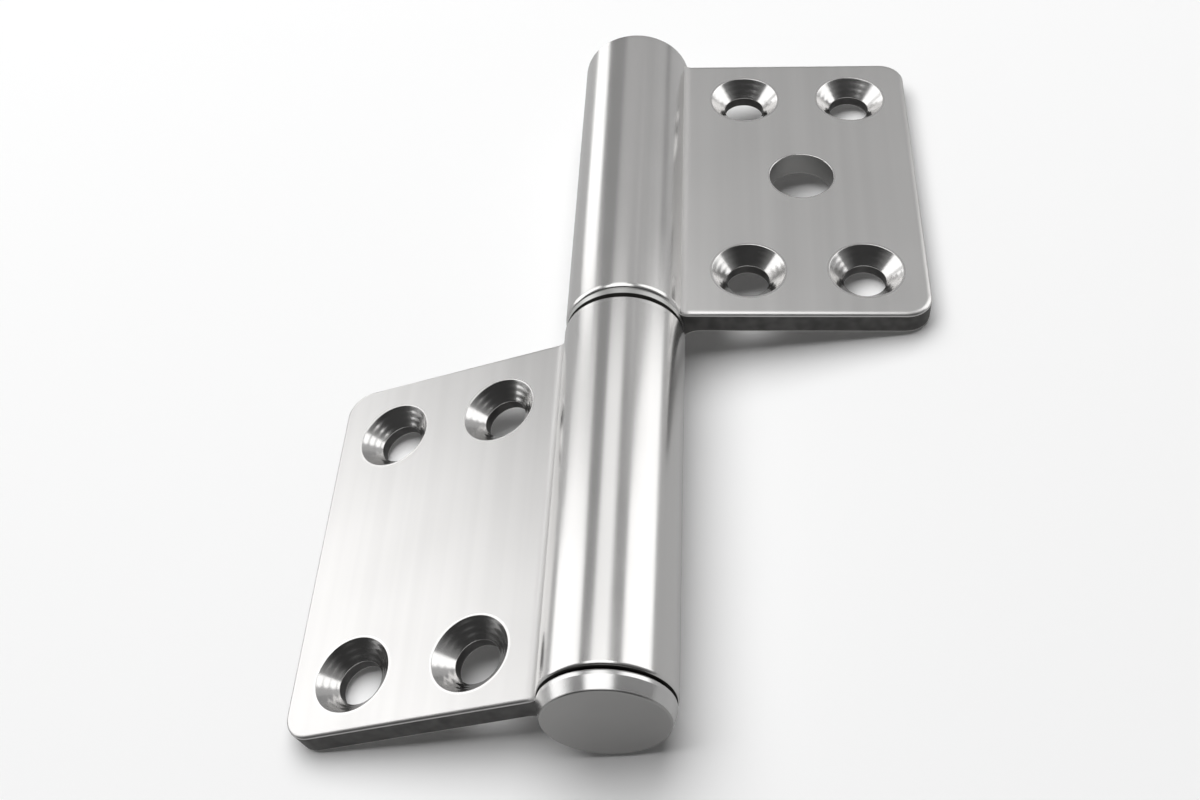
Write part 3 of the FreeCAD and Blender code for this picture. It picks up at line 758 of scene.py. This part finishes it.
def make_turned(name, runs, materials):
    """Piece turned about the pin's axis.

    Each run is its corners, as (radius, height above the row's origin), the roundings of its inner
    corners and the place of its material. The runs follow one another round the section.
    """
    shell = Shell(base=(PIN_AXIS.x, PIN_AXIS.y, 0.0))
    angles = np.linspace(0.0, 2 * math.pi, TURNED_STEPS + 1)
    for corners, radii, finish in runs:
        revolve(shell, *eased(corners, radii), angles, finish)
    return shell.build(name, materials)


def new_node(tree, kind, inputs=None, **settings):
    """Node of a kind, with its settings and the plain values of its inputs."""
    node = tree.nodes.new(kind)
    for name, value in settings.items():
        setattr(node, name, value)
    for name, value in (inputs or {}).items():
        node.inputs[name].default_value = value
    return node


def math_node(tree, operation, first, second=0.5):
    """Output of a Math node. Each operand is a socket or a number."""
    node = new_node(tree, "ShaderNodeMath", operation=operation)
    for socket, operand in zip(node.inputs, (first, second)):
        if isinstance(operand, bpy.types.NodeSocket):
            tree.links.new(operand, socket)
        else:
            socket.default_value = operand
    return node.outputs[0]


def remap(tree, value, limits, low, high):
    """Output of a smooth Map Range node, from the value's two limits to low and high."""
    values = {"From Min": limits[0], "From Max": limits[1], "To Min": low, "To Max": high}
    node = new_node(tree, "ShaderNodeMapRange", values, interpolation_type="SMOOTHSTEP")
    tree.links.new(value, node.inputs["Value"])
    return node.outputs["Result"]


def mixed_shaders(tree, factor, first, second):
    """Output of a Mix Shader node."""
    node = new_node(tree, "ShaderNodeMixShader")
    for socket, source in zip(node.inputs, (factor, first, second)):
        tree.links.new(source, socket)
    return node.outputs[0]


def split_vector(tree, vector):
    """Outputs X, Y and Z of a Separate XYZ node."""
    node = new_node(tree, "ShaderNodeSeparateXYZ")
    tree.links.new(vector, node.inputs[0])
    return node.outputs


def noise_value(tree, vector, scale, detail):
    """Value of a Noise node at a vector."""
    inputs = {"Scale": scale, "Detail": detail, "Roughness": 0.5}
    node = new_node(tree, "ShaderNodeTexNoise", inputs)
    tree.links.new(vector, node.inputs["Vector"])
    return node.outputs["Fac"]


def object_place(tree):
    """Place on the piece, in its own coordinates."""
    return new_node(tree, "ShaderNodeTexCoord").outputs["Object"]


def finish_tree(owner, kind, shader):
    """Links a shader to the output of a material or world."""
    output = new_node(owner.node_tree, kind)
    owner.node_tree.links.new(shader, output.inputs[0])


def empty_tree(owner):
    """Node tree of a material or world, without nodes."""
    owner.use_nodes = True
    owner.node_tree.nodes.clear()
    return owner.node_tree


def new_group(name, inputs, outputs):
    """Empty shader node group with named sockets. Returns it with its input and output nodes."""
    group = bpy.data.node_groups.new(name, "ShaderNodeTree")
    for socket, kind, default in inputs:
        made = group.interface.new_socket(socket, in_out="INPUT", socket_type=kind)
        if default is not None:
            made.default_value = default
    for socket, kind in outputs:
        group.interface.new_socket(socket, in_out="OUTPUT", socket_type=kind)
    return group, group.nodes.new("NodeGroupInput"), group.nodes.new("NodeGroupOutput")


def brushing_group():
    """Long fine scratches along Z: noise whose pattern is a grain wide and many grains long."""
    group, given, put = new_group(
        "Brushing",
        [("Vector", "NodeSocketVector", None), ("Width", "NodeSocketFloat", SCRATCH_WIDTH),
         ("Stretch", "NodeSocketFloat", SCRATCH_STRETCH)],
        [("Height", "NodeSocketFloat"), ("Streaks", "NodeSocketFloat")],
    )
    place, width = split_vector(group, given.outputs["Vector"]), given.outputs["Width"]
    joined = new_node(group, "ShaderNodeCombineXYZ")
    run = math_node(group, "MULTIPLY", width, given.outputs["Stretch"])
    for axis, divisor in (("X", width), ("Y", width), ("Z", run)):
        group.links.new(math_node(group, "DIVIDE", place[axis], divisor), joined.inputs[axis])
    fine = noise_value(group, joined.outputs[0], 1.0, 1.0)
    broad = noise_value(group, joined.outputs[0], STREAK_SCALE, 2.0)
    group.links.new(math_node(group, "SUBTRACT", fine, 0.5), put.inputs["Height"])
    group.links.new(remap(group, broad, STREAK_NOISE, 0.0, 1.0), put.inputs["Streaks"])
    return group


def smudge_group():
    """Soft cloudy patches, as left by hands and polish: broad noise, as large as its size."""
    group, given, put = new_group(
        "Smudges",
        [("Vector", "NodeSocketVector", None), ("Size", "NodeSocketFloat", SATIN_SMUDGE)],
        [("Mask", "NodeSocketFloat")],
    )
    scaled = new_node(group, "ShaderNodeVectorMath", operation="DIVIDE")
    group.links.new(given.outputs["Vector"], scaled.inputs[0])
    group.links.new(given.outputs["Size"], scaled.inputs[1])
    noise = noise_value(group, scaled.outputs[0], 1.0, 1.0)
    group.links.new(remap(group, noise, SMUDGE_NOISE, 0.0, 1.0), put.inputs["Mask"])
    return group


def turning_group():
    """Fine rings left by a turning tool: noise along the second finish coordinate, and a slow waver
    along the first.
    """
    group, given, put = new_group(
        "Turning marks",
        [("Vector", "NodeSocketVector", None), ("Pitch", "NodeSocketFloat", FACE_MARKS[0])],
        [("Height", "NodeSocketFloat")],
    )
    place = split_vector(group, given.outputs["Vector"])
    joined = new_node(group, "ShaderNodeCombineXYZ")
    group.links.new(math_node(group, "MULTIPLY", place["X"], MARK_WAVER), joined.inputs["X"])
    group.links.new(math_node(group, "DIVIDE", place["Y"], given.outputs["Pitch"]), joined.inputs["Y"])
    noise = noise_value(group, joined.outputs[0], 1.0, 2.0)
    group.links.new(math_node(group, "SUBTRACT", noise, 0.5), put.inputs["Height"])
    return group


def place_group(tree, name, make, vector, **values):
    """Places a shared node group in a material, with its vector and its own values.

    The group is made the first time that it is asked for.
    """
    node = new_node(tree, "ShaderNodeGroup", node_tree=bpy.data.node_groups.get(name) or make())
    tree.links.new(vector, node.inputs["Vector"])
    for socket, value in values.items():
        node.inputs[socket].default_value = value
    return node


def new_metal(name, metallic=1.0):
    """Material with a Principled shader of metal. Returns it, its tree and the shader."""
    material = bpy.data.materials.new(name)
    tree = empty_tree(material)
    shader = new_node(tree, "ShaderNodeBsdfPrincipled", {"Metallic": metallic})
    finish_tree(material, "ShaderNodeOutputMaterial", shader.outputs[0])
    return material, tree, shader


def shade_colour(tree, shader, colour, mask, darkest):
    """Base colour that a mask varies between a darker shade and the full one."""
    mix = new_node(tree, "ShaderNodeMix", data_type="RGBA")
    mix.inputs["A"].default_value = (*[darkest * c for c in colour], 1.0)
    mix.inputs["B"].default_value = (*colour, 1.0)
    tree.links.new(mask, mix.inputs["Factor"])
    tree.links.new(mix.outputs["Result"], shader.inputs["Base Color"])


def add_bump(tree, shader, height, distance):
    """Bump of a height socket. distance is the height in metres of one unit."""
    bump = new_node(tree, "ShaderNodeBump", {"Distance": distance, "Strength": BUMP_STRENGTH})
    tree.links.new(height, bump.inputs["Height"])
    tree.links.new(bump.outputs[0], shader.inputs["Normal"])


def satin_material(name, finish, size):
    """Satin stainless steel of the leaves, with long scratches, smudges and smoother barrels.

    The roughness follows the distance from the pin's axis, the root of X squared plus Y squared.
    """
    material, tree, shader = new_metal(name, finish.satin_metallic)
    here = object_place(tree)
    brushing = place_group(
        tree, "Brushing", brushing_group, here, Width=SCRATCH_WIDTH, Stretch=SCRATCH_STRETCH
    )
    smudges = place_group(tree, "Smudges", smudge_group, here, Size=SATIN_SMUDGE)
    streaks, place = brushing.outputs["Streaks"], split_vector(tree, here)
    squares = [
        math_node(tree, "POWER", math_node(tree, "SUBTRACT", place[axis], middle), 2.0)
        for axis, middle in (("X", PIN_AXIS.x), ("Y", PIN_AXIS.y))
    ]
    off_axis = math_node(tree, "SQRT", math_node(tree, "ADD", *squares))
    radius, root = size.barrel_radius, finish.root_roughness
    middle, end = radius + size.front_root * ROOT_MIDDLE, radius + size.front_root
    near = remap(tree, off_axis, (radius, middle), finish.barrel_roughness, root)
    beyond = remap(tree, off_axis, (middle, end), 0.0, finish.plate_roughness - root)
    worn = math_node(tree, "MULTIPLY", smudges.outputs["Mask"], SATIN_WORN)
    streaked = math_node(tree, "MULTIPLY", streaks, STREAK_WORN)
    plain, marked = math_node(tree, "ADD", near, beyond), math_node(tree, "ADD", worn, streaked)
    tree.links.new(math_node(tree, "ADD", plain, marked), shader.inputs["Roughness"])
    shade_colour(tree, shader, finish.cast_colour, streaks, SATIN_SHADE)
    add_bump(tree, shader, brushing.outputs["Height"], SCRATCH_HEIGHT)
    return material


def turned_material(name, colour, roughness, marks):
    """Turned steel with fine rings about the axis it was turned on. marks is their pitch and height."""
    material, tree, shader = new_metal(name)
    grain = new_node(tree, "ShaderNodeUVMap", uv_map="grain").outputs[0]
    turning = place_group(tree, "Turning marks", turning_group, grain, Pitch=marks[0])
    smudges = place_group(tree, "Smudges", smudge_group, object_place(tree), Size=TURNED_SMUDGE)
    mask = smudges.outputs["Mask"]
    rough = math_node(tree, "ADD", math_node(tree, "MULTIPLY", mask, TURNED_WORN), roughness)
    tree.links.new(rough, shader.inputs["Roughness"])
    shade_colour(tree, shader, colour, mask, TURNED_SHADE)
    add_bump(tree, shader, turning.outputs["Height"], marks[1])
    return material


def shaded_dull_material(name, colour, roughness):
    """Matt metal whose dark colour is painted shade, with small cloudy patches."""
    material, tree, shader = new_metal(name)
    smudges = place_group(tree, "Smudges", smudge_group, object_place(tree), Size=DULL_SMUDGE)
    shader.inputs["Roughness"].default_value = roughness
    shade_colour(tree, shader, colour, smudges.outputs["Mask"], DULL_SHADE)
    return material


def shared_material(name, make, *values):
    """A material that several pieces carry, made the first time that it is asked for."""
    return bpy.data.materials.get(name) or make(name, *values)


def gap_shade_material(finish):
    """Near-black painted shade on the faces that close the narrow gaps."""
    return shared_material("gap_film", shaded_dull_material, finish.gap_shade_colour, finish.gap_shade_roughness)


def leaf_materials(context):
    """A leaf's materials: satin skin, bright cones and rims, and painted shade in gaps, on unpolished faces
    and in bores.
    """
    finish, size = context.scene.hinge_finish, context.scene.hinge_leaf
    satin = shared_material("satin_stainless", satin_material, finish, size)
    bright = shared_material(
        "bright_turned", turned_material, finish.cast_colour, finish.turned_roughness, CONE_MARKS
    )
    shaded_dull = shared_material("unpolished_steel", shaded_dull_material, finish.dull_shade_colour, finish.dull_roughness)
    shaded_bored = shared_material(
        "bored_steel", turned_material, finish.bored_shade_colour, finish.bored_roughness, BORE_MARKS
    )
    return [satin, bright, gap_shade_material(finish), shaded_dull, shaded_bored]


class HINGE_OT_lower_leaf(bpy.types.Operator):
    """Lower leaf and its knuckle, with four countersunk holes"""

    bl_idname = "hinge.lower_leaf"
    bl_label = "Lower leaf"

    def execute(self, context):
        size = context.scene.hinge_leaf
        base = (PIN_AXIS.x, PIN_AXIS.y, LOWER_LOW.z)
        piece = make_leaf(
            "lower_leaf_dressed", size, np.diag([-1.0, 1.0, 1.0]), base, size.lower_row,
            size.lower_bore, False, leaf_materials(context)
        )
        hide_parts("lower_leaf")
        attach(piece, "lower")
        return {"FINISHED"}


class HINGE_OT_upper_leaf(bpy.types.Operator):
    """Upper leaf and its knuckle, with four countersunk holes and a plain one"""

    bl_idname = "hinge.upper_leaf"
    bl_label = "Upper leaf"

    def execute(self, context):
        size = context.scene.hinge_leaf
        cos, sin = math.cos(size.rest_turn), math.sin(size.rest_turn)
        axes = [[cos, -sin, 0.0], [sin, cos, 0.0], [0.0, 0.0, 1.0]]
        base = (PIN_AXIS.x, PIN_AXIS.y, UPPER_LOW.z)
        piece = make_leaf(
            "upper_leaf_dressed", size, axes, base, size.upper_row,
            size.upper_bore + size.bore_mouth, True, leaf_materials(context)
        )
        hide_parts("upper_leaf")
        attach(piece, "upper")
        return {"FINISHED"}


class HINGE_OT_end_cap(bpy.types.Operator):
    """End cap with its neck and the spigot that holds it in the lower knuckle"""

    bl_idname = "hinge.end_cap"
    bl_label = "End cap"

    def execute(self, context):
        size, finish = context.scene.hinge_turned, context.scene.hinge_finish
        bottom, knuckle_end, top = CAP_LOW.z, LOWER_LOW.z, CAP_HIGH.z
        head_top = bottom + size.cap_thickness
        radius, easing, back_rim = size.cap_radius, size.easing, size.cap_back_rim
        split = (radius - back_rim - 2 * easing, head_top)
        rim = size.cap_rim / math.hypot(size.cap_lean, size.cap_lean_height)
        side = (radius - size.cap_lean * (1.0 - rim), bottom + size.cap_lean_height * rim)
        face = [(0.0, bottom), (radius - size.cap_lean, bottom), side]
        head = [side, (radius, bottom + size.cap_lean_height), (radius, head_top), split]
        inside = [
            split, (size.neck_radius, head_top), (size.neck_radius, knuckle_end),
            (size.pin_radius, knuckle_end), (size.pin_radius, top), (0.0, top),
        ]
        # The cap's face takes a colour darkened as painted shade, and its inside the gaps' painted shade.
        runs = [
            (face, [size.cap_rim], TURNED_FACE_SHADED), (head, [easing, back_rim], SKIN),
            (inside, [easing] * 4, TURNED_GAP_SHADE),
        ]
        bright = turned_material("turned_cap", finish.cap_colour, finish.cap_roughness, FACE_MARKS)
        shaded_dull = turned_material(
            "turned_cap_face_painted_shade", finish.cap_face_shade_colour, finish.cap_face_roughness, FACE_MARKS
        )
        piece = make_turned("end_cap_dressed", runs, [bright, gap_shade_material(finish), shaded_dull])
        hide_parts("end_cap")
        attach(piece, "lower")
        return {"FINISHED"}


class HINGE_OT_washer(bpy.types.Operator):
    """Thrust washer between the two knuckles"""

    bl_idname = "hinge.washer"
    bl_label = "Thrust washer"

    def execute(self, context):
        size, finish = context.scene.hinge_turned, context.scene.hinge_finish
        radius = (WASHER_HIGH.x - WASHER_LOW.x) / 2
        low, high, rim, bore = WASHER_LOW.z, WASHER_HIGH.z, size.washer_rim, size.washer_bore
        split = radius - rim - 2 * size.easing
        edge = (radius, low + rim + 2 * size.easing)
        outside = [edge, (radius, high - rim), (radius - rim, high), (split, high)]
        inside = [
            (split, high), (bore, high), (bore, low), (radius - rim, low), (radius, low + rim), edge,
        ]
        # The washer's faces and bore take the gaps' painted shade.
        runs = [(outside, [size.easing] * 2, SKIN), (inside, [size.easing] * 4, TURNED_GAP_SHADE)]
        steel = turned_material(
            "turned_washer", finish.washer_colour, finish.washer_roughness, FACE_MARKS
        )
        piece = make_turned("thrust_washer_dressed", runs, [steel, gap_shade_material(finish)])
        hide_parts("thrust_washer")
        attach(piece, "washer")
        return {"FINISHED"}


class HINGE_OT_pin(bpy.types.Operator):
    """Ground pin, chamfered at both ends"""

    bl_idname = "hinge.pin"
    bl_label = "Hinge pin"

    def execute(self, context):
        size, finish = context.scene.hinge_turned, context.scene.hinge_finish
        low, high, radius = PIN_LOW.z, PIN_HIGH.z, size.pin_radius
        corners = [
            (0.0, low), (radius - size.pin_foot, low), (radius, low + size.pin_foot),
            (radius, high - size.pin_top), (radius - size.pin_top, high), (0.0, high),
        ]
        steel = turned_material("ground_pin", finish.ground_colour, finish.pin_roughness, GROUND_MARKS)
        piece = make_turned("hinge_pin_dressed", [(corners, [size.easing] * 4, SKIN)], [steel])
        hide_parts("hinge_pin")
        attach(piece, "lower")
        return {"FINISHED"}


def floor_axes(stage):
    """Unit vectors of the floor: to the right, to its far side, and up from it."""
    cos, sin = math.cos(stage.floor_turn), math.sin(stage.floor_turn)
    return Vector((cos, sin, 0.0)), Vector((0.0, 0.0, 1.0)), Vector((sin, -cos, 0.0))


def floor_material(stage):
    """Pale floor that keeps the hinge's shadow, a little darker in the metal, and clear from behind."""
    material = bpy.data.materials.new("pale_floor")
    tree = empty_tree(material)
    path = new_node(tree, "ShaderNodeLightPath").outputs
    shade = new_node(tree, "ShaderNodeMix", data_type="RGBA")
    shade.inputs["A"].default_value = (*stage.floor_mirrored, 1.0)
    shade.inputs["B"].default_value = (*stage.floor_colour, 1.0)
    tree.links.new(path["Is Camera Ray"], shade.inputs["Factor"])
    matt = new_node(tree, "ShaderNodeBsdfDiffuse")
    tree.links.new(shade.outputs["Result"], matt.inputs["Color"])
    white = new_node(tree, "ShaderNodeEmission", {"Color": WHITE, "Strength": 1.0})
    mirrored = math_node(tree, "MAXIMUM", path["Is Glossy Ray"], path["Is Transmission Ray"])
    part = math_node(tree, "MULTIPLY", mirrored, stage.floor_white)
    front = mixed_shaders(tree, part, matt.outputs[0], white.outputs[0])
    clear = new_node(tree, "ShaderNodeBsdfTransparent")
    behind = new_node(tree, "ShaderNodeNewGeometry").outputs["Backfacing"]
    both = mixed_shaders(tree, behind, front, clear.outputs[0])
    finish_tree(material, "ShaderNodeOutputMaterial", both)
    return material


def add_floor(stage):
    """Square floor that touches the outer back edges of both leaves. Returns its object."""
    right, far, up = floor_axes(stage)
    middle = Vector((PIN_AXIS.x, PIN_AXIS.y, LOWER_HIGH.z)) - up * stage.floor_gap
    half = stage.floor_size / 2
    corners = [middle + half * (a * right + b * far) for a, b in ((-1, -1), (1, -1), (1, 1), (-1, 1))]
    mesh = bpy.data.meshes.new("floor")
    mesh.from_pydata([tuple(c) for c in corners], [], [(0, 1, 2, 3)])
    mesh.update()
    if mesh.polygons[0].normal.dot(up) < 0:
        mesh.flip_normals()
    mesh.materials.append(floor_material(stage))
    floor = bpy.data.objects.new("floor", mesh)
    bpy.context.scene.collection.objects.link(floor)
    return floor


def add_panel(name, centre, facing, along, sizes, radiance):
    """Soft panel lamp: a rectangle at a point that faces another way, with its first side along a line.

    A panel's power is its radiance times pi times its area. Returns its object.
    """
    lamp = bpy.data.lights.new(name, "AREA")
    lamp.shape = "RECTANGLE"
    lamp.size, lamp.size_y = sizes
    lamp.energy = radiance * math.pi * sizes[0] * sizes[1]
    panel = bpy.data.objects.new(name, lamp)
    back = -facing.normalized()
    side = along.normalized()
    turned = back.cross(side)
    panel.matrix_world = Matrix.Translation(centre) @ Matrix((side, turned, back)).transposed().to_4x4()
    panel.visible_camera = False
    bpy.context.scene.collection.objects.link(panel)
    return panel


def receivers(floor, state):
    """Collection by which a lamp lights only the floor, or everything but the floor."""
    collection = bpy.data.collections.new("floor_" + state.lower())
    collection.objects.link(floor)
    collection.collection_objects[0].light_linking.link_state = state
    return collection


def add_lamps(stage, floor):
    """Soft panels on two walls and a ceiling that stand round the hinge, one reach away from it."""
    right, far, up = floor_axes(stage)
    middle = Vector((PIN_AXIS.x, PIN_AXIS.y, LOWER_HIGH.z))
    walls = {"LEFT": (-right, up), "RIGHT": (right, up), "TOP": (up, right)}
    all_but_floor = receivers(floor, "EXCLUDE")
    for name, wall, far_span, rise_span, lean, radiance in PANELS:
        outward, rise = walls[wall]
        turned = math.radians(lean)
        along = far * math.cos(turned) - rise * math.sin(turned)
        centre = outward + far * sum(far_span) / 2 + rise * sum(rise_span) / 2
        sizes = [(span[1] - span[0]) * stage.reach for span in (far_span, rise_span)]
        lamp = add_panel(
            name, middle + centre * stage.reach, -outward, along, sizes, radiance * stage.level
        )
        lamp.light_linking.receiver_collection = all_but_floor
    # The floor has a panel of its own on its far side, whose light falls on nothing else.
    slope = stage.floor_lamp_height
    outward = (far * math.cos(slope) + up * math.sin(slope) - right * stage.floor_lamp_left).normalized()
    size = stage.reach * stage.floor_lamp_size
    lamp = add_panel(
        "floor_panel", middle + outward * stage.floor_lamp_distance * stage.reach, -outward, right,
        (size, size), stage.floor_level
    )
    lamp.light_linking.receiver_collection = receivers(floor, "INCLUDE")


def add_world(stage):
    """White to the camera, and in the metal a plain grey room.

    The room darkens towards the camera's side, and is paler again right behind the camera.
    """
    world = bpy.data.worlds.new("studio")
    bpy.context.scene.world = world
    tree = empty_tree(world)
    path = new_node(tree, "ShaderNodeLightPath").outputs
    slope = split_vector(tree, new_node(tree, "ShaderNodeTexCoord").outputs["Generated"])["Z"]
    beyond = remap(tree, slope, NEAR_TO_BEYOND, stage.room_near, stage.room)
    behind = remap(tree, slope, BEHIND_TO_NEAR, stage.room_behind - stage.room_near, 0.0)
    radiance = math_node(tree, "ADD", beyond, behind)
    # The floor's own panel lights it, so that the room adds little to its shadows.
    faint = math_node(tree, "MULTIPLY", path["Is Diffuse Ray"], stage.room_fill - 1.0)
    fill = math_node(tree, "ADD", faint, 1.0)
    room = new_node(tree, "ShaderNodeBackground", {"Color": WHITE})
    tree.links.new(math_node(tree, "MULTIPLY", radiance, fill), room.inputs["Strength"])
    white = new_node(tree, "ShaderNodeBackground", {"Color": WHITE, "Strength": 1.0})
    seen = mixed_shaders(tree, path["Is Camera Ray"], room.outputs[0], white.outputs[0])
    finish_tree(world, "ShaderNodeOutputWorld", seen)


def add_camera(stage):
    """Camera at the photograph's viewing angle."""
    lens = bpy.data.cameras.new("camera")
    lens.sensor_width = SENSOR_WIDTH
    lens.lens = stage.lens
    lens.clip_start = CLIP_START
    camera = bpy.data.objects.new("camera", lens)
    cos = math.cos(stage.elevation)
    back = Vector((math.sin(stage.azimuth) * cos, -math.cos(stage.azimuth) * cos, math.sin(stage.elevation)))
    camera.rotation_mode = "QUATERNION"
    camera.location = Vector(stage.aim) + back * stage.distance
    camera.rotation_quaternion = back.to_track_quat("Z", "Y") @ Quaternion((0.0, 0.0, 1.0), stage.roll)
    bpy.context.scene.collection.objects.link(camera)
    bpy.context.scene.camera = camera


class HINGE_OT_stage(bpy.types.Operator):
    """Floor, lamps, world and camera"""

    bl_idname = "hinge.stage"
    bl_label = "Stage"

    def execute(self, context):
        stage = context.scene.hinge_stage
        context.scene.view_settings.view_transform = "Standard"
        floor = add_floor(stage)
        add_lamps(stage, floor)
        add_world(stage)
        add_camera(stage)
        return {"FINISHED"}


PIECE_OPERATORS = (
    HINGE_OT_lower_leaf,
    HINGE_OT_upper_leaf,
    HINGE_OT_end_cap,
    HINGE_OT_washer,
    HINGE_OT_pin,
    HINGE_OT_stage,
)


class HINGE_PT_panel(bpy.types.Panel):
    """Lists the hinge's pieces and its stage"""

    bl_label = "Lift-off hinge"
    bl_idname = "HINGE_PT_panel"
    bl_space_type = "VIEW_3D"
    bl_region_type = "UI"
    bl_category = "Hinge"

    def draw(self, context):
        for operator in PIECE_OPERATORS:
            self.layout.operator(operator.bl_idname)


SETTINGS = {
    "hinge_leaf": HingeLeafSizes,
    "hinge_turned": HingeTurnedSizes,
    "hinge_finish": HingeFinish,
    "hinge_stage": HingeStage,
}
CLASSES = (*SETTINGS.values(), *PIECE_OPERATORS, HINGE_PT_panel)


def register():
    """Registers the classes, and keeps the settings on the scene."""
    for item in CLASSES:
        bpy.utils.register_class(item)
    for name, settings in SETTINGS.items():
        setattr(bpy.types.Scene, name, bpy.props.PointerProperty(type=settings))


def unregister():
    """Takes the settings and the classes away again."""
    for name in SETTINGS:
        delattr(bpy.types.Scene, name)
    for item in reversed(CLASSES):
        bpy.utils.unregister_class(item)


def main():
    """Builds every piece and the stage."""
    register()
    bpy.ops.hinge.lower_leaf()
    bpy.ops.hinge.upper_leaf()
    bpy.ops.hinge.end_cap()
    bpy.ops.hinge.washer()
    bpy.ops.hinge.pin()
    bpy.ops.hinge.stage()


if __name__ == "__main__":
    main()
